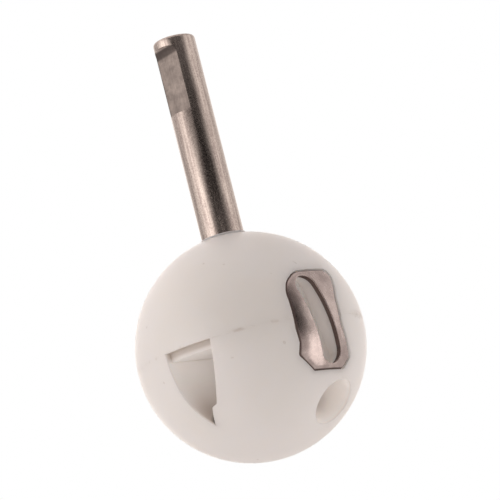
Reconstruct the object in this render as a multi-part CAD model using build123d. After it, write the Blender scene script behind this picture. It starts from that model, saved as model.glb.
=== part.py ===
"""Control ball of a single-handle mixer tap.

A hollow plastic ball, welded from two halves, turns in the tap's seats. A steel
stem moulded into the upper half carries the handle, and a steel guide plate let
into the side of the ball runs on the tap's fixed pin.

Frame, in millimetres: the origin is the centre of the ball, +Z runs along the
stem to its tip, +X leaves the ball through the guide plate, and -Y leaves it
through the outlet window and faces the same way as the flat on the stem.
"""

import math
import os

from build123d import *

# Ball
BALL_RADIUS = 12.7
TONGUE_RADIUS = 12.0
TONGUE_DEPTH = 1.0
CHAMBER_RADIUS = 6.4

# Stem
STEM_RADIUS = 2.38
STEM_TIP_Z = 35.9
STEM_ROOT_Z = 3.4
STEM_ROOT_RADIUS = 2.0
STEM_EDGE_ROUND = 0.35
STEM_HEAD_RADIUS = 3.2
STEM_HEAD_HEIGHT = 1.2
STEM_GROOVE_RADIUS = 1.6
STEM_GROOVE_Z = 6.6
STEM_GROOVE_HEIGHT = 1.0

# Set-screw flat on the stem
FLAT_DEPTH = 0.87
FLAT_BOTTOM_Z = 27.2
FLAT_TOP_Z = 34.9
FLAT_TOP_RUNOUT = 0.87
FLAT_BOTTOM_RUNOUT = 0.45

# Plastic lip round the foot of the stem
LIP_RADIUS = 2.62
LIP_TOP_Z = 12.75
LIP_ROUND = 0.1

# Outlet window: one upright side, one curved side, meeting at a low corner
WINDOW_SIDE_X = 0.9
WINDOW_CORNER_X = 6.6
WINDOW_BACK_Y = -3.0
WINDOW_BEND_Z = -4.2
WINDOW_SIDE_BELLY = (1.25, -6.5)
WINDOW_CURVE_MIDDLE = (5.95, -3.3)
WINDOW_CURVE_END = (4.1, -6.65)
WINDOW_STEP = (3.4, -6.85)
WINDOW_LOW_CORNER = (2.0, -8.6)

# Inlet ports, one each side of the ball
PORT_RADIUS = 2.75
PORT_LONGITUDE = 15.0
PORT_LATITUDE = -45.0
PORT_INNER_REACH = 5.0

# Guide plate; its outline's corners are (Y, Z), from the top down each side
PLATE_THICKNESS = 0.5
PLATE_EDGE_GAP = 0.08
FLANGE_THICKNESS = 0.6
FLANGE_WIDTH = 0.6
FLANGE_END_STEP = 0.4
PLATE_RIGHT_SIDE = [(4.3, 5.25), (2.95, 1.6), (2.78, -1.1), (3.75, -4.7), (2.6, -5.8)]
PLATE_LEFT_SIDE = [
    (-1.2, 5.25),
    (-2.85, 4.15),
    (-3.4, 2.9),
    (-3.52, -1.2),
    (-3.28, -2.7),
    (-3.45, -4.0),
    (-1.55, -5.7),
]
PLATE_END_Z = 5.0
PLATE_CROWN_Z = 2.5
PLATE_CORNER_ROUND = 0.45
PLATE_CROWN_ROUND = 1.0

# Guide slot in the plate, and the pin pocket below it
SLOT_WIDTH = 2.7
SLOT_LENGTH = 10.0
SLOT_CENTRE = (0.1, -0.3)
SLOT_TILT = 11.5
POCKET_CLEARANCE = 0.12
POCKET_FLOOR_X = 9.7

REACH = 2 * BALL_RADIUS


def below(height):
    """A block that fills everything near the ball below one height."""
    return Pos(0, 0, height - REACH) * Box(2 * REACH, 2 * REACH, 2 * REACH)


def curved_block(outline, outer_radius, inner_radius):
    """An outline carried along X through the ball's wall, between two radii."""
    return (extrude(outline, REACH) & Sphere(outer_radius)) - Sphere(inner_radius)


def flat_cutter():
    """The tool path that leaves the flat, with a curved run-out at each end."""
    flat_y = -(STEM_RADIUS - FLAT_DEPTH)
    outside_y = -2 * STEM_RADIUS
    top_y = flat_y - FLAT_TOP_RUNOUT
    low_y = flat_y - FLAT_BOTTOM_RUNOUT
    low_z = FLAT_BOTTOM_Z + FLAT_BOTTOM_RUNOUT
    high_z = FLAT_TOP_Z - FLAT_TOP_RUNOUT
    profile = Plane.YZ * make_face(
        [
            Line((flat_y, low_z), (flat_y, high_z)),
            RadiusArc((flat_y, high_z), (top_y, FLAT_TOP_Z), -FLAT_TOP_RUNOUT),
            Line((top_y, FLAT_TOP_Z), (outside_y, FLAT_TOP_Z)),
            Line((outside_y, FLAT_TOP_Z), (outside_y, FLAT_BOTTOM_Z)),
            Line((outside_y, FLAT_BOTTOM_Z), (low_y, FLAT_BOTTOM_Z)),
            RadiusArc((low_y, FLAT_BOTTOM_Z), (flat_y, low_z), -FLAT_BOTTOM_RUNOUT),
        ]
    )
    return extrude(profile, STEM_RADIUS * 2, both=True)


def upright_cylinder(radius, bottom_z, top_z):
    """A cylinder on the stem's axis between two heights."""
    return Pos(0, 0, (bottom_z + top_z) / 2) * Cylinder(radius, top_z - bottom_z)


def top_rim(cylinder):
    """The circular edge round the top of an upright cylinder."""
    return cylinder.edges().filter_by(GeomType.CIRCLE).sort_by(Axis.Z)[-1]


def make_stem():
    """The steel stem: round rod, set-screw flat, and a grooved, headed root."""
    rod = upright_cylinder(STEM_RADIUS, LIP_TOP_Z, STEM_TIP_Z)
    rod = fillet(top_rim(rod), STEM_EDGE_ROUND)
    root = upright_cylinder(STEM_ROOT_RADIUS, STEM_ROOT_Z, LIP_TOP_Z)
    head_top = STEM_ROOT_Z + STEM_HEAD_HEIGHT
    head = upright_cylinder(STEM_HEAD_RADIUS, STEM_ROOT_Z, head_top)
    groove_top = STEM_GROOVE_Z + STEM_GROOVE_HEIGHT
    groove = upright_cylinder(STEM_HEAD_RADIUS, STEM_GROOVE_Z, groove_top)
    groove -= upright_cylinder(STEM_GROOVE_RADIUS, STEM_GROOVE_Z, groove_top)
    return rod + (root + head - groove) - flat_cutter()


def plate_corner(corner, side_margin, end_margin):
    """A corner of the guide plate's outline, moved out sideways and, at an end, endways."""
    y, z = corner
    if abs(z) > PLATE_END_Z:
        z += math.copysign(end_margin, z)
    return y + math.copysign(side_margin, y), z


def plate_outline(side_margin, end_margin):
    """The guide plate's outline seen along X, with its sides and ends moved out."""
    corners = PLATE_LEFT_SIDE + PLATE_RIGHT_SIDE[::-1]
    moved = [plate_corner(corner, side_margin, end_margin) for corner in corners]
    outline = Polygon(*moved, align=None)
    crown = [corner for corner in outline.vertices() if corner.Y > PLATE_CROWN_Z]
    outline = fillet(crown, PLATE_CROWN_ROUND)
    others = [corner for corner in outline.vertices() if corner.Y < PLATE_CROWN_Z]
    return Plane.YZ * fillet(others, PLATE_CORNER_ROUND)


def slot_outline(margin):
    """The guide slot's outline seen along X, grown by a margin all round."""
    width = SLOT_WIDTH + 2 * margin
    spacing = SLOT_LENGTH - SLOT_WIDTH
    obround = SlotCenterToCenter(spacing, width, rotation=90 + SLOT_TILT)
    return Plane.YZ * Pos(*SLOT_CENTRE) * obround


def plate_body(edge_gap):
    """The curved plate and its hidden flange, with a gap round the plate's edge."""
    flange_top = BALL_RADIUS - PLATE_THICKNESS
    flange_bottom = flange_top - FLANGE_THICKNESS
    skin = curved_block(plate_outline(edge_gap, edge_gap), BALL_RADIUS, flange_top)
    flange = plate_outline(FLANGE_WIDTH, -FLANGE_END_STEP)
    return skin + curved_block(flange, flange_top, flange_bottom)


def make_guide_plate():
    """The steel guide plate with its inclined slot."""
    return plate_body(0) - extrude(slot_outline(0), REACH)


def plate_pocket():
    """The hollow in the ball that takes the plate, and the pin pocket below it."""
    seat = extrude(plate_outline(PLATE_EDGE_GAP, PLATE_EDGE_GAP), REACH)
    seat -= Sphere(BALL_RADIUS - PLATE_THICKNESS)
    pin_pocket = extrude(slot_outline(POCKET_CLEARANCE), REACH)
    pin_pocket -= Pos(POCKET_FLOOR_X - REACH, 0, 0) * Box(2 * REACH, 2 * REACH, 2 * REACH)
    return seat + plate_body(PLATE_EDGE_GAP) + pin_pocket


def window_prism():
    """The straight passage along Y that opens as the outlet window, below the seam."""
    start = (WINDOW_SIDE_X, 0)
    corner = (WINDOW_CORNER_X, 0)
    bend = (WINDOW_SIDE_X, WINDOW_BEND_Z)
    profile = Plane.XZ * make_face(
        [
            Line(start, corner),
            ThreePointArc(corner, WINDOW_CURVE_MIDDLE, WINDOW_CURVE_END),
            Line(WINDOW_CURVE_END, WINDOW_STEP),
            Line(WINDOW_STEP, WINDOW_LOW_CORNER),
            ThreePointArc(WINDOW_LOW_CORNER, WINDOW_SIDE_BELLY, bend),
            Line(bend, start),
        ]
    )
    return Pos(0, WINDOW_BACK_Y, 0) * extrude(profile, REACH)


def inlet_port(side):
    """A round passage aimed at the ball's centre; side is 1 for +X, -1 for -X."""
    longitude = math.radians(PORT_LONGITUDE)
    latitude = math.radians(PORT_LATITUDE)
    axis = Vector(
        side * math.cos(latitude) * math.cos(longitude),
        math.cos(latitude) * math.sin(longitude),
        math.sin(latitude),
    )
    mouth = Plane(origin=axis * PORT_INNER_REACH, z_dir=axis)
    return extrude(mouth * Circle(PORT_RADIUS), BALL_RADIUS)


def tongue():
    """The disc under the upper half that locates it in the lower half."""
    return upright_cylinder(TONGUE_RADIUS, -TONGUE_DEPTH, 0)


def stem_lip():
    """The raised lip of plastic round the foot of the stem."""
    lip = upright_cylinder(LIP_RADIUS, STEM_ROOT_Z, LIP_TOP_Z)
    return fillet(top_rim(lip), LIP_ROUND)


def make_upper_half(stem):
    """The upper half: stem socket, and a tongue that closes the top of the chamber."""
    half = Sphere(BALL_RADIUS) - below(0) + stem_lip() + tongue()
    return half - plate_pocket() - stem


def make_lower_half():
    """The lower half: tongue recess, mixing chamber, outlet window and inlet ports."""
    half = Sphere(BALL_RADIUS) & below(0)
    half -= tongue() + window_prism() + plate_pocket()
    half -= Sphere(CHAMBER_RADIUS)
    return half - inlet_port(1) - inlet_port(-1)


def main():
    """Build each piece and write it to the parts folder."""
    os.makedirs("parts", exist_ok=True)
    stem = make_stem()
    pieces = {
        "stem": stem,
        "upper_ball_half": make_upper_half(stem),
        "lower_ball_half": make_lower_half(),
        "slot_guide_plate": make_guide_plate(),
    }
    for name, piece in pieces.items():
        piece.label = name
        export_step(piece, f"parts/{name}.step")


main()
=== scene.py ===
"""Looks of a mixer tap's control ball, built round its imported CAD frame.

Everything is in metres in the frame's own axes: +Z runs along the stem, +X leaves
the ball through the guide plate and -Y leaves it through the outlet window.
"""

import logging
import math
from collections.abc import Callable, Sequence
from dataclasses import dataclass, field
from enum import Enum

import bpy
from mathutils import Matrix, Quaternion, Vector


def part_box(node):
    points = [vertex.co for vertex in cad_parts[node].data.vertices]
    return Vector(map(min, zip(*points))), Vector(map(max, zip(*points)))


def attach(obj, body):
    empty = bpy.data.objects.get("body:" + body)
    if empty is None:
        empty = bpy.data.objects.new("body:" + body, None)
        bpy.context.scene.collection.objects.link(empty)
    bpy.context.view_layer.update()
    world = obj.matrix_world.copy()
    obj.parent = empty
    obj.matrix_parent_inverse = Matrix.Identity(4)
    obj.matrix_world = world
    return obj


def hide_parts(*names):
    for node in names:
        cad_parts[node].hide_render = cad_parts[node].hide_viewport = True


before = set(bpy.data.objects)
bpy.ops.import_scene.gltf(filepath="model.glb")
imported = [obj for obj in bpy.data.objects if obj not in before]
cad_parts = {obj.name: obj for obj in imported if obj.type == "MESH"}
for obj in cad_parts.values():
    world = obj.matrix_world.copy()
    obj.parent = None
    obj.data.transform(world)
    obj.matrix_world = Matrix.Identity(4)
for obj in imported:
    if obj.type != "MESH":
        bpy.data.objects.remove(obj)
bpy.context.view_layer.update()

LOG = logging.getLogger("tap_ball")
MM = 0.001
MERGE_GAP = 0.004 * MM
BALL_RADIUS = -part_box("lower_ball_half")[0].z
CENTRE = (0.0, 0.0, 0.0)
BLACK = (0.0, 0.0, 0.0, 1.0)
WHITE = (1.0, 1.0, 1.0, 1.0)

Point = tuple[float, float]
Place = tuple[float, float, float]
Colour = tuple[float, float, float, float]


class Axis(Enum):
    """The row axes that an outline can be pushed along."""

    X = (1.0, 0.0, 0.0)
    Y = (0.0, 1.0, 0.0)
    Z = (0.0, 0.0, 1.0)


class Cut(Enum):
    """What a tool does to the piece it meets."""

    REMOVE = "DIFFERENCE"
    JOIN = "UNION"


# ---------------------------------------------------------------- bench work


def clear_bench() -> None:
    """Deselect every object, so that the next operator acts on its own piece."""
    if bpy.context.object and bpy.context.object.mode != "OBJECT":
        bpy.ops.object.mode_set(mode="OBJECT")
    bpy.ops.object.select_all(action="DESELECT")


def arc_through(start: Point, middle: Point, end: Point, steps: int) -> list[Point]:
    """Points along the circular arc that passes through three points.

    Args:
        start: The arc's first point.
        middle: A point that the arc passes through.
        end: The arc's last point.
        steps: The number of equal spans.

    Returns:
        The points after start, up to and including end.
    """
    (ax, ay), (bx, by), (cx, cy) = start, middle, end
    twice_area = 2 * (ax * (by - cy) + bx * (cy - ay) + cx * (ay - by))
    a2, b2, c2 = ax * ax + ay * ay, bx * bx + by * by, cx * cx + cy * cy
    ux = (a2 * (by - cy) + b2 * (cy - ay) + c2 * (ay - by)) / twice_area
    uy = (a2 * (cx - bx) + b2 * (ax - cx) + c2 * (bx - ax)) / twice_area
    radius = math.hypot(ax - ux, ay - uy)
    first = math.atan2(ay - uy, ax - ux)
    turn = math.atan2(cy - uy, cx - ux) - first
    turn = (turn + math.pi) % (2 * math.pi) - math.pi
    angles = [first + turn * step / steps for step in range(1, steps + 1)]
    return [(ux + radius * math.cos(a), uy + radius * math.sin(a)) for a in angles]


def rounded(corners: Sequence[Point], radii: Sequence[float], steps: int = 6) -> list[Point]:
    """An outline with its corners rounded.

    Args:
        corners: The outline's corners, in order.
        radii: The radius at each corner.
        steps: The number of spans in each rounding.

    Returns:
        The rounded outline's points.
    """
    outline = []
    for index, radius in enumerate(radii):
        here = Vector(corners[index])
        back = (Vector(corners[index - 1]) - here).normalized()
        ahead = (Vector(corners[(index + 1) % len(corners)]) - here).normalized()
        half = back.angle(ahead) / 2
        inward = (back + ahead).normalized()
        start = here + back * (radius / math.tan(half))
        end = here + ahead * (radius / math.tan(half))
        middle = here + inward * (radius / math.sin(half) - radius)
        outline.append(tuple(start))
        outline += arc_through(tuple(start), tuple(middle), tuple(end), steps)
    return outline


class Workpiece:
    """A mesh on the bench, shaped by operators on the faces and edges picked in it."""

    def __init__(self, name: str) -> None:
        """Take the primitive that has just been added.

        Args:
            name: The piece's name.
        """
        self.obj = bpy.context.object
        self.obj.name = name
        self.obj.data.name = name
        self.settle()

    @classmethod
    def ball(cls, name: str, radius: float, sides: int = 192) -> "Workpiece":
        """Start from a sphere round the origin.

        Args:
            name: The piece's name.
            radius: The sphere's radius.
            sides: Its meridians; it has half as many rings.

        Returns:
            The new piece.
        """
        clear_bench()
        bpy.ops.mesh.primitive_uv_sphere_add(segments=sides, ring_count=sides // 2, radius=radius)
        return cls(name)

    @classmethod
    def rod(cls, name: str, radius: float, low: float, high: float, sides: int = 96) -> "Workpiece":
        """Start from an upright cylinder on the Z axis.

        Args:
            name: The piece's name.
            radius: The cylinder's radius.
            low: The height of its foot.
            high: The height of its top.
            sides: The number of side faces.

        Returns:
            The new piece.
        """
        clear_bench()
        middle = (low + high) / 2
        bpy.ops.mesh.primitive_cylinder_add(
            vertices=sides, radius=radius, depth=high - low, location=(0, 0, middle)
        )
        return cls(name)

    @classmethod
    def prism(
        cls, name: str, outline: Sequence[Point], axis: Axis, start: float, end: float
    ) -> "Workpiece":
        """Start from a filled ring, set its corners on an outline, and extrude it.

        Args:
            name: The piece's name.
            outline: The corners, as (first, second) row coordinates square to the axis.
            axis: The axis that the prism runs along.
            start: Where the prism starts along that axis.
            end: Where it ends.

        Returns:
            The new piece.
        """
        clear_bench()
        bpy.ops.mesh.primitive_circle_add(vertices=len(outline), fill_type="NGON")
        piece = cls(name)
        for vertex, (first, second) in zip(piece.obj.data.vertices, outline):
            places = {
                Axis.X: (start, first, second),
                Axis.Y: (first, start, second),
                Axis.Z: (first, second, start),
            }
            vertex.co = places[axis]
        push = Vector(axis.value) * (end - start)
        piece.pick_all()
        piece.work(bpy.ops.mesh.extrude_region_move, TRANSFORM_OT_translate={"value": push})
        piece.turn_outward()
        return piece

    def settle(self) -> None:
        """Put the piece's place into its mesh, with its object at the origin."""
        clear_bench()
        self.activate()
        bpy.ops.object.transform_apply(location=True, rotation=True, scale=True)

    def activate(self) -> None:
        """Make this piece the only selected one."""
        clear_bench()
        self.obj.select_set(True)
        bpy.context.view_layer.objects.active = self.obj

    def pick_all(self) -> None:
        """Select all of the mesh."""
        self.pick_faces(lambda face: True)

    def pick_faces(self, test: Callable[[bpy.types.MeshPolygon], bool]) -> None:
        """Select the faces that pass a test on their centre or normal.

        Args:
            test: Says whether a face is wanted.
        """
        self.activate()
        mesh = self.obj.data
        for group in (mesh.vertices, mesh.edges):
            group.foreach_set("select", [False] * len(group))
        for face in mesh.polygons:
            face.select = bool(test(face))
        bpy.context.tool_settings.mesh_select_mode = (False, False, True)

    def pick_edges(self, test: Callable[[Vector, Vector], bool], angle: float = 0.0) -> None:
        """Select the edges that pass a test on their two ends.

        Args:
            test: Says whether the edge between two points is wanted.
            angle: The least angle between the faces beside a wanted edge, in degrees.
        """
        self.activate()
        mesh = self.obj.data
        beside = {}
        for face in mesh.polygons:
            for key in face.edge_keys:
                beside.setdefault(key, []).append(face.normal)
        mesh.polygons.foreach_set("select", [False] * len(mesh.polygons))
        mesh.vertices.foreach_set("select", [False] * len(mesh.vertices))
        for edge in mesh.edges:
            first, second = (mesh.vertices[index].co for index in edge.vertices)
            sides = beside.get(edge.key, [])
            fold = sides[0].angle(sides[1], 0.0) if len(sides) == 2 else math.pi
            edge.select = fold >= math.radians(angle) and bool(test(first, second))
            if edge.select:
                for index in edge.vertices:
                    mesh.vertices[index].select = True
        bpy.context.tool_settings.mesh_select_mode = (False, True, False)

    def work(self, operator: Callable, **settings: object) -> None:
        """Run one edit-mode operator on what is picked.

        Args:
            operator: The operator.
            **settings: Its settings.
        """
        bpy.ops.object.mode_set(mode="EDIT")
        operator(**settings)
        bpy.ops.object.mode_set(mode="OBJECT")

    def turn_outward(self) -> None:
        """Make every face look away from the inside."""
        self.pick_all()
        self.work(bpy.ops.mesh.normals_make_consistent, inside=False)

    def merge(self, distance: float) -> None:
        """Join points nearer than a distance, and drop what that flattens.

        Args:
            distance: The greatest gap to close.
        """
        self.pick_all()
        self.work(bpy.ops.mesh.remove_doubles, threshold=distance)
        self.pick_all()
        self.work(bpy.ops.mesh.dissolve_degenerate, threshold=distance / 2)

    def finish_with(self, kind: str, **settings: object) -> None:
        """Add a modifier and apply it.

        Args:
            kind: The modifier's type.
            **settings: Its settings.
        """
        self.activate()
        modifier = self.obj.modifiers.new(kind.title(), kind)
        for name, value in settings.items():
            setattr(modifier, name, value)
        bpy.ops.object.modifier_apply(modifier=modifier.name)

    def meet(self, tool: "Workpiece", cut: Cut) -> None:
        """Cut the piece with a tool, or join them, and clear the tool away.

        Args:
            tool: The other solid.
            cut: What the tool does.
        """
        self.finish_with("BOOLEAN", object=tool.obj, operation=cut.value, solver="EXACT")
        bpy.data.meshes.remove(tool.obj.data)

    def slice_across(self, axis: Axis, start: float, end: float, pitch: float) -> None:
        """Add rows of edges square to an axis, so that the mesh can follow a curve.

        Args:
            axis: The axis that the cuts are square to.
            start: The place of the first cut.
            end: The place that the last cut stays short of.
            pitch: The distance between cuts.
        """
        normal = Vector(axis.value)
        for row in range(int((end - start) / pitch)):
            self.pick_all()
            place = tuple(normal * (start + row * pitch))
            self.work(bpy.ops.mesh.bisect, plane_co=place, plane_no=axis.value)

    def break_edges(self, width: float, angle: float = 40.0, segments: int = 2) -> None:
        """Round every edge that is sharper than an angle.

        Args:
            width: How far the rounding reaches.
            angle: The least angle that counts as an edge, in degrees.
            segments: The number of faces across the rounding.
        """
        self.finish_with(
            "BEVEL",
            width=width,
            segments=segments,
            limit_method="ANGLE",
            angle_limit=math.radians(angle),
            use_clamp_overlap=True,
            harden_normals=False,
        )

    def shade(self, angle: float = 30.0) -> None:
        """Shade the piece smoothly except across edges.

        Args:
            angle: The least angle that stays sharp, in degrees.
        """
        self.activate()
        bpy.ops.object.shade_smooth_by_angle(angle=math.radians(angle))

    def fit(self, material: bpy.types.Material, slot: str, *nodes: str) -> None:
        """Give the piece its finish and tie it to the frame.

        Args:
            material: The finish.
            slot: The record's material slot; not used.
            *nodes: The CAD nodes that the piece stands for.
        """
        self.obj.data.materials.clear()
        self.obj.data.materials.append(material)
        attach(self.obj, "root")
        if nodes:
            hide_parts(*nodes)
        faces = len(self.obj.data.polygons)
        LOG.info("%s: %d faces, finish %s", self.obj.name, faces, material.name)


# ------------------------------------------------------------------ shader work


class Value:
    """An output socket that takes part in Python arithmetic."""

    def __init__(self, graph: "Graph", socket: bpy.types.NodeSocket) -> None:
        """Wrap a socket of a graph.

        Args:
            graph: The graph that new Math nodes go into.
            socket: The socket.
        """
        self.graph = graph
        self.socket = socket

    def math(self, operation: str, *others: "Number") -> "Value":
        """Add a Math node that starts from this value.

        Args:
            operation: The Math node's operation.
            *others: Its other inputs.

        Returns:
            The node's result.
        """
        inputs = dict(enumerate((self, *others)))
        return self.graph.add("ShaderNodeMath", {"operation": operation}, inputs)

    def __add__(self, other: "Number") -> "Value":
        """Add."""
        return self.math("ADD", other)

    def __radd__(self, other: "Number") -> "Value":
        """Add, reflected."""
        return self.math("ADD", other)

    def __sub__(self, other: "Number") -> "Value":
        """Subtract."""
        return self.math("SUBTRACT", other)

    def __rsub__(self, other: "Number") -> "Value":
        """Subtract, reflected."""
        settings = {"operation": "SUBTRACT"}
        return self.graph.add("ShaderNodeMath", settings, {0: other, 1: self})

    def __mul__(self, other: "Number") -> "Value":
        """Multiply."""
        return self.math("MULTIPLY", other)

    def __rmul__(self, other: "Number") -> "Value":
        """Multiply, reflected."""
        return self.math("MULTIPLY", other)

    def __truediv__(self, other: "Number") -> "Value":
        """Divide."""
        return self.math("DIVIDE", other)

    def __abs__(self) -> "Value":
        """Drop the sign."""
        return self.math("ABSOLUTE")

    def step(self, start: float, end: float) -> "Value":
        """Rise smoothly from 0 to 1 between two values; fall if end is below start.

        Args:
            start: The value that gives 0.
            end: The value that gives 1.

        Returns:
            The smooth mask.
        """
        low, high = sorted((start, end))
        settings = {"interpolation_type": "SMOOTHSTEP", "clamp": True}
        inputs = {
            "Value": self,
            "From Min": low,
            "From Max": high,
            "To Min": 0.0 if start < end else 1.0,
            "To Max": 1.0 if start < end else 0.0,
        }
        return self.graph.add("ShaderNodeMapRange", settings, inputs)


Number = Value | float


class Graph:
    """A node tree under construction."""

    def __init__(self, tree: bpy.types.NodeTree) -> None:
        """Empty the tree and work in it.

        Args:
            tree: The node tree.
        """
        self.tree = tree
        tree.nodes.clear()

    def add(
        self,
        kind: str,
        settings: dict[str, object] | None = None,
        inputs: dict[str | int, object] | None = None,
        output: str | int = 0,
    ) -> Value:
        """Add a node of any type.

        Args:
            kind: The node's type.
            settings: Its settings; "stops" holds a ramp's (place, colour) pairs.
            inputs: Numbers, tuples or values for its input sockets.
            output: The output socket that is wanted.

        Returns:
            That output socket.
        """
        node = self.tree.nodes.new(kind)
        for name, value in (settings or {}).items():
            if name == "stops":
                self.set_stops(node.color_ramp, value)
            else:
                setattr(node, name, value)
        for name, value in (inputs or {}).items():
            if isinstance(value, Value):
                self.tree.links.new(value.socket, node.inputs[name])
            else:
                node.inputs[name].default_value = value
        return Value(self, node.outputs[output] if node.outputs else None)

    @staticmethod
    def set_stops(ramp: bpy.types.ColorRamp, stops: Sequence[tuple[float, Colour]]) -> None:
        """Place a ramp's stops.

        Args:
            ramp: The ramp.
            stops: Its (place, colour) pairs, in order.
        """
        while len(ramp.elements) < len(stops):
            ramp.elements.new(1.0)
        for element, (place, colour) in zip(ramp.elements, stops):
            element.position = place
            element.color = colour

    def blend(self, amount: Number, first: object, second: object) -> Value:
        """Mix two colours.

        Args:
            amount: 0 for the first colour, 1 for the second.
            first: A colour or a colour value.
            second: A colour or a colour value.

        Returns:
            The mixed colour.
        """
        settings = {"data_type": "RGBA", "clamp_factor": True}
        return self.add("ShaderNodeMix", settings, {0: amount, 6: first, 7: second}, 2)

    def place(self) -> Value:
        """The point on the object, in metres."""
        return self.add("ShaderNodeTexCoord", output="Object")

    def parts(self, vector: Value) -> tuple[Value, Value, Value]:
        """Split a vector.

        Args:
            vector: The vector.

        Returns:
            Its X, Y and Z.
        """
        split = self.tree.nodes.new("ShaderNodeSeparateXYZ")
        self.tree.links.new(vector.socket, split.inputs[0])
        x, y, z = (Value(self, socket) for socket in split.outputs)
        return x, y, z

    def stretched(self, vector: Value, scale: Place) -> Value:
        """Scale a point's coordinates, so that a pattern runs along an axis.

        Args:
            vector: The point.
            scale: The scale along X, Y and Z.

        Returns:
            The scaled point.
        """
        settings = {"operation": "MULTIPLY"}
        return self.add("ShaderNodeVectorMath", settings, {0: vector, 1: scale})

    def distance(self, first: Value, second: Place) -> Value:
        """How far a point is from a fixed place.

        Args:
            first: The point.
            second: The place.

        Returns:
            The distance, in metres.
        """
        settings = {"operation": "DISTANCE"}
        return self.add("ShaderNodeVectorMath", settings, {0: first, 1: second}, "Value")

    def noise(self, vector: Value, scale: float, detail: float = 3.0, rough: float = 0.5) -> Value:
        """Soft random variation between 0 and 1.

        Args:
            vector: The point.
            scale: Features per metre.
            detail: Octaves of finer variation.
            rough: How strong the finer octaves are.

        Returns:
            The variation.
        """
        inputs = {"Vector": vector, "Scale": scale, "Detail": detail, "Roughness": rough}
        return self.add("ShaderNodeTexNoise", None, inputs)

    def bump(self, height: Value, distance: float, strength: float = 1.0) -> Value:
        """A normal that follows a height.

        Args:
            height: The height, from 0 to 1.
            distance: How far 1 stands above 0, in metres.
            strength: The bump's strength.

        Returns:
            The normal.
        """
        inputs = {"Height": height, "Distance": distance, "Strength": strength}
        return self.add("ShaderNodeBump", None, inputs)

    def surface(self, inputs: dict[str, object]) -> None:
        """Finish a material with a Principled shader.

        Args:
            inputs: The shader's sockets.
        """
        shader = self.add("ShaderNodeBsdfPrincipled", None, inputs)
        self.add("ShaderNodeOutputMaterial", None, {"Surface": shader})


def new_material(name: str) -> tuple[bpy.types.Material, Graph]:
    """Start a material.

    Args:
        name: The material's name.

    Returns:
        The material and its empty graph.
    """
    material = bpy.data.materials.new(name)
    material.use_nodes = True
    return material, Graph(material.node_tree)


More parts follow.
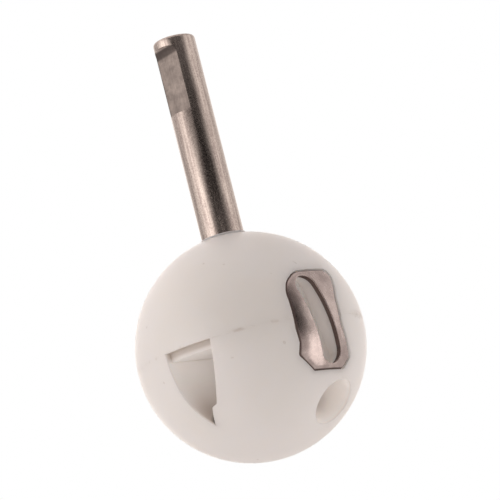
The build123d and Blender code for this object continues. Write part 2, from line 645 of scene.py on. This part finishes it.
@dataclass(frozen=True)
class MilkyPlastic:
    """Glossy, milky white moulded plastic, with a painted glow and painted shade inside its
    openings.
    """

    name: str = "milky_plastic"
    base: Colour = (0.965, 0.935, 0.915, 1.0)
    cloud: Colour = (0.95, 0.91, 0.885, 1.0)
    # Below: a dirt colour for real specks, weld marks and the scar, which also paints shade inside
    # the openings; a near-black colour that paints shade in the window's low corner; and the colour
    # of a painted glow inside the openings.
    soil_and_shade: Colour = (0.50, 0.44, 0.38, 1.0)
    deep_corner_shade: Colour = (0.07, 0.06, 0.05, 1.0)
    painted_glow: Colour = (1.0, 0.93, 0.88, 1.0)
    depth: float = 1.6 * MM
    scatter: float = 0.85
    skin: float = 12.7 * MM
    low_corner: Place = (2.0 * MM, -8.4 * MM, -8.2 * MM)
    scar_heading: float = 33.0
    cloud_scale: float = 120.0
    speck_scale: float = 900.0
    mark_scale: float = 420.0
    scuff_scale: float = 700.0
    ripple_scale: float = 260.0
    grain_scale: float = 2600.0

    def colour(self, graph: Graph, point: Value, inside: Value) -> Value:
        """The clouded colour, with a few specks, and painted shade inside the openings, under the
        window's top edge and in its low corner.

        Args:
            graph: The graph to work in.
            point: The point on the object.
            inside: 1 below the ball's skin, 0 on it.

        Returns:
            The colour.
        """
        _, y, height = graph.parts(point)
        clouds = graph.noise(point, self.cloud_scale, 2.0).step(0.35, 0.7)
        colour = graph.blend(clouds, self.base, self.cloud)
        specks = graph.noise(point, self.speck_scale, 1.0).step(0.76, 0.8)
        colour = graph.blend(specks * 0.25, colour, self.soil_and_shade)
        # Painted shadow: a darker band just under the window's top edge, plus a slight painted
        # shade on every surface inside the openings.
        under_edge_shadow = inside * height.step(-0.85 * MM, -0.4 * MM) * y.step(-5 * MM, -7 * MM)
        colour = graph.blend(under_edge_shadow * 0.45 + inside * 0.05, colour, self.soil_and_shade)
        # Painted shade: darker towards the window's low corner, near black right in it.
        away = graph.distance(point, self.low_corner)
        colour = graph.blend(inside * away.step(4.2 * MM, 0.8 * MM) * 0.6, colour, self.soil_and_shade)
        return graph.blend(inside * away.step(1.2 * MM, 0.4 * MM) * 0.9, colour, self.deep_corner_shade)

    def painted_inner_glow(self, graph: Graph, point: Value, inside: Value) -> Value:
        """Painted light: a glow emitted inside the window, the ports and the pin pocket, standing
        in for light through the walls.

        Args:
            graph: The graph to work in.
            point: The point on the object.
            inside: 1 below the ball's skin, 0 on it.

        Returns:
            The emitted colour.
        """
        x, y, height = graph.parts(point)
        # Painted light: a glow emitted in the window below the tongue, in the ports and in the pin
        # pocket.
        window = y.step(-3 * MM, -6 * MM) * height.step(-6 * MM, -1.5 * MM) * 0.13
        window = window * height.step(-0.8 * MM, -1.2 * MM)
        port = abs(x).step(4.5 * MM, 6 * MM) * height.step(-5 * MM, -6 * MM) * 0.13
        pocket = x.step(8.5 * MM, 9.5 * MM) * 0.05
        strength = inside * (window + port + pocket)
        return graph.blend(strength, BLACK, self.painted_glow)

    def scar(self, graph: Graph, point: Value) -> Value:
        """The rough patch on the seam, behind the guide plate.

        Args:
            graph: The graph to work in.
            point: The point on the object.

        Returns:
            Its height, from 0 to 1.
        """
        turn = math.radians(self.scar_heading)
        middle = (self.skin * math.cos(turn), self.skin * math.sin(turn), 0.15 * MM)
        flattened = graph.stretched(point, (1.0, 1.0, 4.0))
        near = graph.distance(flattened, middle).step(2.6 * MM, 1.2 * MM)
        return near * graph.noise(point, self.grain_scale, 2.0, 0.7).step(0.35, 0.65)

    def material(self) -> bpy.types.Material:
        """Build the material."""
        material, graph = new_material(self.name)
        point = graph.place()
        _, _, height = graph.parts(point)
        inside = graph.distance(point, CENTRE).step(self.skin - 0.02 * MM, 12.3 * MM)
        weld = abs(height).step(0.28 * MM, 0.02 * MM)
        marks = graph.noise(point, self.mark_scale, 3.0, 0.6).step(0.55, 0.72)
        colour = graph.blend(weld * marks * 0.35, self.colour(graph, point, inside), self.soil_and_shade)
        scar = self.scar(graph, point)
        colour = graph.blend(scar * 0.2, colour, self.soil_and_shade)
        ripple = graph.noise(point, self.ripple_scale, 2.0)
        grain = graph.noise(point, self.grain_scale, 2.0)
        streaked = graph.stretched(point, (1.0, 1.0, 0.25))
        scuffs = graph.noise(streaked, self.scuff_scale, 4.0, 0.7)
        relief = ripple + grain * 0.05 + weld * marks * 0.35 + scar * 4.0
        graph.surface(
            {
                "Base Color": colour,
                "Roughness": 0.24 + scuffs * 0.16,
                "IOR": 1.48,
                "Subsurface Weight": self.scatter,
                "Subsurface Radius": (1.0, 0.95, 0.9),
                "Subsurface Scale": self.depth,
                # painted light: the glow emitted inside the openings
                "Emission Color": self.painted_inner_glow(graph, point, inside),
                "Emission Strength": 1.0,
                "Normal": graph.bump(relief, 0.03 * MM, 0.5),
            }
        )
        return material


@dataclass(frozen=True)
class DrawnSteel:
    """Drawn and ground stainless rod, streaked along Z, with a duller milled flat, and painted
    shade where the flat runs out at its top.
    """

    name: str = "drawn_steel"
    bright: Colour = (0.70, 0.62, 0.57, 1.0)
    dull: Colour = (0.37, 0.31, 0.29, 1.0)
    flat: Colour = (0.23, 0.20, 0.187, 1.0)
    # near-black colour for painted shade on the flat's top run-out
    run_out_shade: Colour = (0.085, 0.07, 0.066, 1.0)
    flat_y: float = -1.5 * MM
    flat_span: tuple[float, float] = (27.2 * MM, 34.8 * MM)
    streak_scale: float = 3200.0
    speckle_scale: float = 5200.0
    blotch_scale: float = 420.0
    mottle_scale: float = 900.0

    def material(self) -> bpy.types.Material:
        """Build the material."""
        material, graph = new_material(self.name)
        point = graph.place()
        _, across, height = graph.parts(point)
        low, high = self.flat_span
        milled = across.step(self.flat_y + 0.03 * MM, self.flat_y - 0.005 * MM)
        milled = milled * height.step(low - 0.1 * MM, low + 0.1 * MM)
        milled = milled * height.step(high + 0.1 * MM, high - 0.1 * MM)
        drawn, long = (graph.stretched(point, (1.0, 1.0, along)) for along in (0.06, 0.5))
        streaks = graph.noise(drawn, self.streak_scale, 4.0, 0.7)
        speckle = graph.noise(point, self.speckle_scale, 3.0, 0.75)
        blotch = graph.noise(long, self.blotch_scale, 4.0, 0.65)
        tarnish = (streaks * 0.55 + speckle * 0.45).step(0.36, 0.64)
        colour = graph.blend(tarnish, self.dull, self.bright)
        mottle = graph.noise(point, self.mottle_scale, 5.0, 0.7)
        flat_colour = graph.blend(mottle.step(0.35, 0.75) * 0.5, self.flat, self.bright)
        colour = graph.blend(milled * 0.8, colour, flat_colour)
        # Painted shade: the flat's top run-out is darkened towards near black.
        run_out_shade_mask = milled * height.step(high - 0.95 * MM, high - 0.65 * MM)
        colour = graph.blend(run_out_shade_mask * 0.75, colour, self.run_out_shade)
        rough = 0.12 + speckle * 0.16 + blotch * 0.1
        rough = rough + milled * (0.2 + mottle * 0.2)
        relief = streaks * 0.45 + speckle * 0.55 + milled * mottle * 1.4
        graph.surface(
            {
                "Base Color": colour,
                "Metallic": 1.0,
                "Roughness": rough,
                "Normal": graph.bump(relief, 0.012 * MM, 0.45),
            }
        )
        return material


@dataclass(frozen=True)
class StampedSteel:
    """Stamped stainless sheet, tumbled to a mottled satin, with painted shade on its turned-down
    edge, and its sunk edges and slot walls darkened partly as sheared finish, partly as painted
    shade.
    """

    name: str = "stamped_steel"
    bright: Colour = (0.58, 0.505, 0.485, 1.0)
    dull: Colour = (0.42, 0.355, 0.34, 1.0)
    # Duller colour of the sheared edges, darkened further as painted shade; it also paints shade on
    # the turned-down edge.
    sheared_edge_and_shade: Colour = (0.19, 0.145, 0.135, 1.0)
    face_radius: float = 12.7 * MM
    patch_scale: float = 700.0
    pit_scale: float = 4200.0

    def material(self) -> bpy.types.Material:
        """Build the material."""
        material, graph = new_material(self.name)
        point = graph.place()
        _, y, height = graph.parts(point)
        depth = self.face_radius - graph.distance(point, CENTRE)
        # Painted shade: the turned-down window-side edge is darkened.
        turned = y.step(-1.9 * MM, -2.9 * MM) * height.step(4.5 * MM, 3.4 * MM)
        turned = turned * height.step(-3.0 * MM, -1.9 * MM)
        # Everything sunk below the ball's surface (slot walls, rolled edges, the drooped edge) is
        # darkened: partly the duller sheared finish, partly painted shade.
        sheared_edge_and_shade = depth.step(0.09 * MM, 0.17 * MM)
        patches = graph.noise(point, self.patch_scale, 5.0, 0.65)
        pits = graph.noise(point, self.pit_scale, 3.0, 0.7)
        colour = graph.blend(patches.step(0.3, 0.68), self.dull, self.bright)
        colour = graph.blend(turned * 0.4, colour, self.sheared_edge_and_shade)
        colour = graph.blend(sheared_edge_and_shade, colour, self.sheared_edge_and_shade)
        rough = 0.12 + patches * 0.14 + pits * 0.12 + sheared_edge_and_shade * 0.3
        graph.surface(
            {
                "Base Color": colour,
                "Metallic": 1.0,
                "Roughness": rough,
                "Normal": graph.bump(pits * 0.5 + patches * 0.8, 0.02 * MM, 0.6),
            }
        )
        return material


# ---------------------------------------------------------------- the tap ball


@dataclass
class OutletWindow:
    """The straight-sided outlet window, cut along Y below the seam."""

    side_x: float = 0.9 * MM
    corner_x: float = 6.6 * MM
    bend_z: float = -4.2 * MM
    side_belly: Point = (1.25 * MM, -6.5 * MM)
    curve_middle: Point = (5.95 * MM, -3.3 * MM)
    curve_end: Point = (4.1 * MM, -6.65 * MM)
    step: Point = (3.4 * MM, -6.85 * MM)
    low_corner: Point = (2.0 * MM, -8.6 * MM)
    back_y: float = -3.0 * MM
    front_y: float = -20 * MM

    def tool(self, top: float) -> Workpiece:
        """The cutter for the window below one height.

        Args:
            top: The height of the window's top.

        Returns:
            The cutter.
        """
        corner = (self.corner_x, top)
        bend = (self.side_x, self.bend_z)
        outline = [(self.side_x, top), corner]
        outline += arc_through(corner, self.curve_middle, self.curve_end, 24)
        outline += [self.step, self.low_corner]
        outline += arc_through(self.low_corner, self.side_belly, bend, 12)
        return Workpiece.prism("window_tool", outline, Axis.Y, self.back_y, self.front_y)


@dataclass
class GuideSeat:
    """The outlines, in (Y, Z), of the guide plate and of its inclined slot."""

    right: Sequence[Point] = (
        (4.3 * MM, 5.25 * MM),
        (2.95 * MM, 1.6 * MM),
        (2.78 * MM, -1.1 * MM),
        (3.75 * MM, -4.7 * MM),
        (2.6 * MM, -5.8 * MM),
    )
    left: Sequence[Point] = (
        (-1.2 * MM, 5.25 * MM),
        (-2.85 * MM, 4.15 * MM),
        (-3.4 * MM, 2.9 * MM),
        (-3.52 * MM, -1.2 * MM),
        (-3.28 * MM, -2.7 * MM),
        (-3.45 * MM, -4.0 * MM),
        (-1.55 * MM, -5.7 * MM),
    )
    end_z: float = 5.0 * MM
    crown_z: float = 2.5 * MM
    crown_round: float = 1.0 * MM
    shoulder_round: float = 2.4 * MM
    corner_round: float = 0.45 * MM
    slot_width: float = 2.7 * MM
    slot_length: float = 10.0 * MM
    slot_centre: Point = (0.1 * MM, -0.3 * MM)
    slot_tilt: float = 11.5

    def plate_tool(self, margin: float, start: float, end: float) -> Workpiece:
        """A prism along X with the plate's outline.

        Args:
            margin: How far the outline is grown.
            start: Where the prism starts along X.
            end: Where it ends.

        Returns:
            The prism.
        """
        corners, radii = [], []
        for y, z in (*self.left, *reversed(self.right)):
            lift = math.copysign(margin, z) if abs(z) > self.end_z else 0.0
            corners.append((y + math.copysign(margin, y), z + lift))
            crown = self.shoulder_round if y < 0.0 else self.crown_round
            radii.append(crown if z > self.crown_z else self.corner_round)
        return Workpiece.prism("plate_tool", rounded(corners, radii), Axis.X, start, end)

    def slot_tool(self, margin: float, start: float, end: float) -> Workpiece:
        """A prism along X with the slot's outline: a ring pulled apart, then tilted.

        Args:
            margin: How far the outline is grown.
            start: Where the prism starts along X.
            end: Where it ends.

        Returns:
            The prism.
        """
        radius = self.slot_width / 2 + margin
        reach = (self.slot_length - self.slot_width) / 2
        outline = []
        for step in range(60):
            turn = math.radians(6 * step + 3)
            lift = math.copysign(reach, math.sin(turn))
            outline.append((radius * math.cos(turn), radius * math.sin(turn) + lift))
        tilt = math.radians(self.slot_tilt)
        middle_y, middle_z = self.slot_centre
        tilted = [
            (
                middle_y + y * math.cos(tilt) - z * math.sin(tilt),
                middle_z + y * math.sin(tilt) + z * math.cos(tilt),
            )
            for y, z in outline
        ]
        return Workpiece.prism("slot_tool", tilted, Axis.X, start, end)

    def from_slot(self, point: Vector) -> float:
        """How far a point stands off the slot's centre line, seen along X.

        Args:
            point: The point.

        Returns:
            The distance.
        """
        tilt = math.radians(self.slot_tilt)
        y, z = point.y - self.slot_centre[0], point.z - self.slot_centre[1]
        across = y * math.cos(tilt) + z * math.sin(tilt)
        along = abs(-y * math.sin(tilt) + z * math.cos(tilt))
        past = max(0.0, along - (self.slot_length - self.slot_width) / 2)
        return math.hypot(across, past)


@dataclass
class TapBall:
    """The welded plastic ball, with its openings and its moulding marks."""

    radius: float = BALL_RADIUS
    tongue_radius: float = 12.0 * MM
    tongue_depth: float = 1.0 * MM
    chamber_radius: float = 6.4 * MM
    port_radius: float = 2.75 * MM
    port_longitude: float = 15.0
    port_latitude: float = -45.0
    port_span: Point = (5 * MM, 14 * MM)
    stem_hole: float = 2.385 * MM
    stem_foot: float = 3.4 * MM
    lip_radius: float = 2.58 * MM
    lip_foot: float = 5 * MM
    lip_top: float = 12.68 * MM
    seat_depth: float = 0.72 * MM
    seat_gap: float = 0.1 * MM
    seat_from_x: float = 5 * MM
    pin_floor_x: float = 9.7 * MM
    pin_gap: float = 0.12 * MM
    edge: float = 0.05 * MM
    flash_radius: float = 0.075 * MM
    flash_waviness: float = 0.09 * MM
    flash_pitch: float = 0.5 * MM
    clear: float = 20 * MM
    wide: float = 30 * MM
    window: OutletWindow = field(default_factory=OutletWindow)
    seat: GuideSeat = field(default_factory=GuideSeat)

    def seat_tools(self) -> list[Workpiece]:
        """The cutters for the plate's seat and for the pin pocket below it."""
        plate = self.seat.plate_tool(self.seat_gap, self.seat_from_x, self.clear)
        plate.meet(Workpiece.ball("seat_floor", self.radius - self.seat_depth), Cut.REMOVE)
        return [plate, self.seat.slot_tool(self.pin_gap, self.pin_floor_x, self.clear)]

    def port_tool(self, side: int) -> Workpiece:
        """The cutter for one round port.

        Args:
            side: 1 for the port on +X, -1 for the one on -X.

        Returns:
            The cutter.
        """
        tool = Workpiece.rod("port_tool", self.port_radius, *self.port_span)
        heading = math.radians(self.port_longitude)
        tilt = math.radians(90 - self.port_latitude)
        tool.obj.rotation_euler = (0.0, tilt, heading if side > 0 else math.pi - heading)
        tool.settle()
        return tool

    def below_tongue(self, tool: Workpiece) -> Workpiece:
        """Keep a cutter clear of the upper half's tongue, and below the seam.

        Args:
            tool: The cutter.

        Returns:
            The same cutter.
        """
        tongue = Workpiece.rod("tongue", self.tongue_radius, -self.tongue_depth, self.clear, 192)
        tool.meet(tongue, Cut.REMOVE)
        tool.meet(Workpiece.rod("upper_side", self.wide, 0.0, self.wide, 48), Cut.REMOVE)
        return tool

    def body(self) -> Workpiece:
        """The ball itself: both moulded halves, welded into one."""
        piece = Workpiece.ball("ball_body", self.radius)
        lip = Workpiece.rod("lip", self.lip_radius, self.lip_foot, self.lip_top)
        piece.meet(lip, Cut.JOIN)
        tools = [
            self.below_tongue(self.window.tool(MM)),
            self.below_tongue(Workpiece.ball("chamber", self.chamber_radius, 96)),
            self.port_tool(1),
            self.port_tool(-1),
            Workpiece.rod("stem_hole", self.stem_hole, self.stem_foot, self.clear),
            *self.seat_tools(),
        ]
        for tool in tools:
            piece.meet(tool, Cut.REMOVE)
        return piece

    def weld(self) -> Workpiece:
        """The thin, uneven flash that the weld left along the seam."""
        clear_bench()
        bpy.ops.mesh.primitive_torus_add(
            major_radius=self.radius - self.flash_radius * 0.8,
            minor_radius=self.flash_radius,
            major_segments=720,
            minor_segments=10,
        )
        piece = Workpiece("weld_flash")
        ripple = bpy.data.textures.new("flash_ripple", "CLOUDS")
        ripple.noise_scale = self.flash_pitch
        piece.finish_with(
            "DISPLACE", texture=ripple, strength=self.flash_waviness, mid_level=0.55
        )
        seat = self.seat.plate_tool(self.seat_gap, self.seat_from_x, self.clear)
        for tool in (self.window.tool(MM), seat):
            piece.meet(tool, Cut.REMOVE)
        return piece

    def build(self, plastic: bpy.types.Material, flash: bpy.types.Material) -> None:
        """Make the body and the weld's flash round it.

        Args:
            plastic: The ball's finish.
            flash: The flash's finish.
        """
        body = self.body()
        body.merge(MERGE_GAP)
        body.break_edges(self.edge)
        body.shade()
        body.fit(plastic, "ball_plastic", "upper_ball_half", "lower_ball_half")
        weld = self.weld()
        weld.shade(60.0)
        weld.fit(flash, "ball_plastic")


@dataclass
class GuidePlate:
    """The stamped guide plate: blanked flat, rolled at its edges, then formed."""

    radius: float = BALL_RADIUS
    thickness: float = 0.7 * MM
    droop_start: float = 1.7 * MM
    droop: float = 0.16 * MM
    die_roll: float = 0.36 * MM
    slot_edge: float = 0.07 * MM
    pitch: float = 0.35 * MM
    window_side_y: float = -3.5 * MM
    rows_y: Point = (-3.4 * MM, 3.9 * MM)
    rows_z: Point = (-5.6 * MM, 5.1 * MM)
    seat: GuideSeat = field(default_factory=GuideSeat)

    def roll_edges(self, piece: Workpiece) -> None:
        """Round the blank's front edges, more round the outline than round the slot.

        Args:
            piece: The flat blank, with its front face at X = 0.
        """
        near = self.seat.slot_width / 2 + 0.05 * MM
        for width, at_slot in ((self.die_roll, False), (self.slot_edge, True)):
            piece.pick_edges(
                lambda a, b: min(a.x, b.x) > -0.001 * MM
                and (self.seat.from_slot(a) < near) == at_slot,
                angle=40.0,
            )
            piece.work(bpy.ops.mesh.bevel, offset=width, segments=5, affect="EDGES")

    def form(self, piece: Workpiece) -> None:
        """Press the flat blank onto the ball's curve, with its window side turned down.

        Args:
            piece: The flat blank.
        """
        piece.slice_across(Axis.Y, *self.rows_y, self.pitch)
        piece.slice_across(Axis.Z, *self.rows_z, self.pitch)
        fall = -self.window_side_y - self.droop_start
        for vertex in piece.obj.data.vertices:
            depth, y, z = vertex.co
            past = max(0.0, -y - self.droop_start) / fall
            depth -= self.droop * past * past
            vertex.co.x = math.sqrt((self.radius + depth) ** 2 - y * y - z * z)

    def build(self, steel: bpy.types.Material) -> None:
        """Make the plate.

        Args:
            steel: The plate's finish.
        """
        piece = self.seat.plate_tool(0.0, -self.thickness, 0.0)
        piece.obj.name = piece.obj.data.name = "guide_plate"
        piece.meet(self.seat.slot_tool(0.0, -2 * MM, 2 * MM), Cut.REMOVE)
        self.roll_edges(piece)
        self.form(piece)
        piece.turn_outward()
        piece.shade(35.0)
        piece.finish_with("WEIGHTED_NORMAL", keep_sharp=True)
        piece.fit(steel, "guide_steel", "slot_guide_plate")


@dataclass
class Stem:
    """The steel stem, with its tip round and its set-screw flat."""

    radius: float = 2.38 * MM
    foot: float = 3.4 * MM
    tip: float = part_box("stem")[1].z
    tip_round: float = 0.35 * MM
    flat_depth: float = 0.87 * MM
    flat_low: float = 27.2 * MM
    flat_high: float = 34.9 * MM
    run_out: float = 0.87 * MM
    low_run_out: float = 0.45 * MM

    def flat_tool(self) -> Workpiece:
        """The cutter for the flat, curved where it runs out at each end."""
        flat_y = -(self.radius - self.flat_depth)
        top_start = (flat_y, self.flat_high - self.run_out)
        top_end = (flat_y - self.run_out, self.flat_high)
        low_start = (flat_y - self.low_run_out, self.flat_low)
        low_end = (flat_y, self.flat_low + self.low_run_out)
        slope = math.sqrt(0.5)
        top_middle = (top_end[0] + self.run_out * slope, top_start[1] + self.run_out * slope)
        low_middle = (
            low_start[0] + self.low_run_out * slope,
            low_end[1] - self.low_run_out * slope,
        )
        outside_y = -3 * self.radius
        outline = [(outside_y, self.flat_high), (outside_y, self.flat_low), low_start]
        outline += arc_through(low_start, low_middle, low_end, 8)
        outline.append(top_start)
        outline += arc_through(top_start, top_middle, top_end, 12)
        return Workpiece.prism("flat_tool", outline, Axis.X, -5 * MM, 5 * MM)

    def build(self, steel: bpy.types.Material) -> None:
        """Make the stem.

        Args:
            steel: The stem's finish.
        """
        piece = Workpiece.rod("stem_rod", self.radius, self.foot, self.tip, 128)
        piece.pick_edges(lambda a, b: min(a.z, b.z) > self.tip - 0.01 * MM)
        piece.work(bpy.ops.mesh.bevel, offset=self.tip_round, segments=5, affect="EDGES")
        piece.meet(self.flat_tool(), Cut.REMOVE)
        piece.merge(MERGE_GAP)
        piece.break_edges(0.06 * MM, 35.0)
        piece.shade()
        piece.fit(steel, "stem_steel", "stem")


# -------------------------------------------------------------------- the studio


@dataclass
class Studio:
    """A pale floor well below the ball, a soft white surround, and the camera."""

    floor_z: float = -160 * MM
    floor_size: float = 3.0
    aim: Place = (1.52 * MM, 2.037 * MM, 10.603 * MM)
    azimuth: float = 49.28
    elevation: float = -11.34
    roll: float = 14.22
    distance: float = 372.1 * MM
    lens: float = 242.97
    clip: Point = (0.01, 10.0)
    paint: Colour = (0.86, 0.86, 0.86, 1.0)
    ceiling: Colour = (0.85, 0.765, 0.73, 1.0)
    tint: Colour = (1.1, 1.01, 0.955, 1.0)
    left_gain: float = 0.42
    front_shade: float = 0.85
    lamp_turn: float = 67.0
    lamp_rise: float = -20.0
    lamp_distance: float = 200 * MM
    lamp_size: float = 90 * MM
    lamp_energy: float = 0.03
    lamp_tint: Place = (1.0, 0.93, 0.88)
    room: Sequence[tuple[float, float]] = (
        (-180, 1.5),
        (-160, 1.1),
        (-145, 0.5),
        (-128, 0.4),
        (-97, 0.52),
        (-78, 0.95),
        (-60, 1.25),
        (-47, 1.35),
        (-36, 1.05),
        (-26, 0.3),
        (-18, 0.01),
        (0, 0.0),
        (34, 0.0),
        (44, 0.13),
        (56, 0.5),
        (68, 1.35),
        (84, 1.75),
        (105, 1.4),
        (130, 1.0),
        (155, 1.2),
        (180, 1.5),
    )

    def toward_camera(self) -> Vector:
        """The direction from the ball to the camera."""
        turn, rise = math.radians(self.azimuth), math.radians(self.elevation)
        level = math.cos(rise)
        return Vector((math.sin(turn) * level, -math.cos(turn) * level, math.sin(rise)))

    def floor(self) -> None:
        """A plain pale floor."""
        clear_bench()
        bpy.ops.mesh.primitive_plane_add(size=self.floor_size, location=(0, 0, self.floor_z))
        floor = bpy.context.object
        floor.name = "studio_floor"
        material, graph = new_material("pale_floor")
        graph.surface({"Base Color": self.paint, "Roughness": 0.6})
        floor.data.materials.append(material)

    def surround(self) -> None:
        """A white surround that is darker round the camera, where the room is."""
        world = bpy.data.worlds.new("surround")
        bpy.context.scene.world = world
        world.use_nodes = True
        graph = Graph(world.node_tree)
        heading = graph.add("ShaderNodeTexCoord", output="Generated")
        level = Vector((self.toward_camera().x, self.toward_camera().y, 0.0)).normalized()
        right = Vector((-level.y, level.x, 0.0))
        dot = {"operation": "DOT_PRODUCT"}
        ahead = graph.add("ShaderNodeVectorMath", dot, {0: heading, 1: tuple(level)}, "Value")
        aside = graph.add("ShaderNodeVectorMath", dot, {0: heading, 1: tuple(right)}, "Value")
        _, _, height = graph.parts(heading)
        around = aside.math("ARCTAN2", ahead) / (2 * math.pi) + 0.5
        stops = [((turn / 360 + 0.5), (level, level, level, 1.0)) for turn, level in self.room]
        room = graph.add("ShaderNodeValToRGB", {"stops": stops}, {0: around})
        above = height.step(0.2, 0.75)
        multiply = {"data_type": "RGBA", "blend_type": "MULTIPLY"}
        room = graph.add("ShaderNodeMix", multiply, {0: 1.0, 6: room, 7: self.tint}, 2)
        light = graph.blend(above, room, self.ceiling)
        shade = 1.0 - above * ahead.step(0.38, 0.78) * self.front_shade
        gain = (1.0 - aside * self.left_gain) * shade
        seen = graph.add("ShaderNodeLightPath", output="Is Camera Ray")
        light = graph.blend(seen, light, WHITE)
        strength = gain * (1.0 - seen) + seen
        back = graph.add("ShaderNodeBackground", None, {"Color": light, "Strength": strength})
        graph.add("ShaderNodeOutputWorld", None, {"Surface": back})

    def lamp(self) -> None:
        """A soft lamp, low on the right, that shines on the foot of the guide plate."""
        clear_bench()
        turn, rise = math.radians(self.azimuth + self.lamp_turn), math.radians(self.lamp_rise)
        toward = Vector((math.sin(turn), -math.cos(turn), math.tan(rise))).normalized()
        bpy.ops.object.light_add(type="AREA", location=toward * self.lamp_distance)
        lamp = bpy.context.object
        lamp.name = "low_lamp"
        lamp.rotation_euler = toward.to_track_quat("Z", "Y").to_euler()
        lamp.data.size = self.lamp_size
        lamp.data.energy = self.lamp_energy
        lamp.data.color = self.lamp_tint

    def camera(self) -> None:
        """A long lens, tilted so that the stem leans to the left."""
        back = self.toward_camera()
        data = bpy.data.cameras.new("camera")
        data.lens = self.lens
        camera = bpy.data.objects.new("camera", data)
        bpy.context.scene.collection.objects.link(camera)
        camera.location = Vector(self.aim) + back * self.distance
        camera.rotation_mode = "QUATERNION"
        level = (-back).to_track_quat("-Z", "Y")
        camera.rotation_quaternion = level @ Quaternion((0, 0, 1), -math.radians(self.roll))
        data.clip_start, data.clip_end = self.clip
        bpy.context.scene.camera = camera

    def build(self) -> None:
        """Set the whole studio up."""
        bpy.context.scene.view_settings.view_transform = "Standard"
        self.camera()
        self.floor()
        self.surround()
        self.lamp()
        LOG.info("studio: camera, floor, surround and lamp")


def main() -> None:
    """Build the studio and every piece of the ball."""
    logging.basicConfig(level=logging.INFO, format="%(name)s: %(message)s")
    Studio().build()
    flash = MilkyPlastic(name="flash_plastic", scatter=0.0).material()
    TapBall().build(MilkyPlastic().material(), flash)
    GuidePlate().build(StampedSteel().material())
    Stem().build(DrawnSteel().material())


if __name__ == "__main__":
    main()
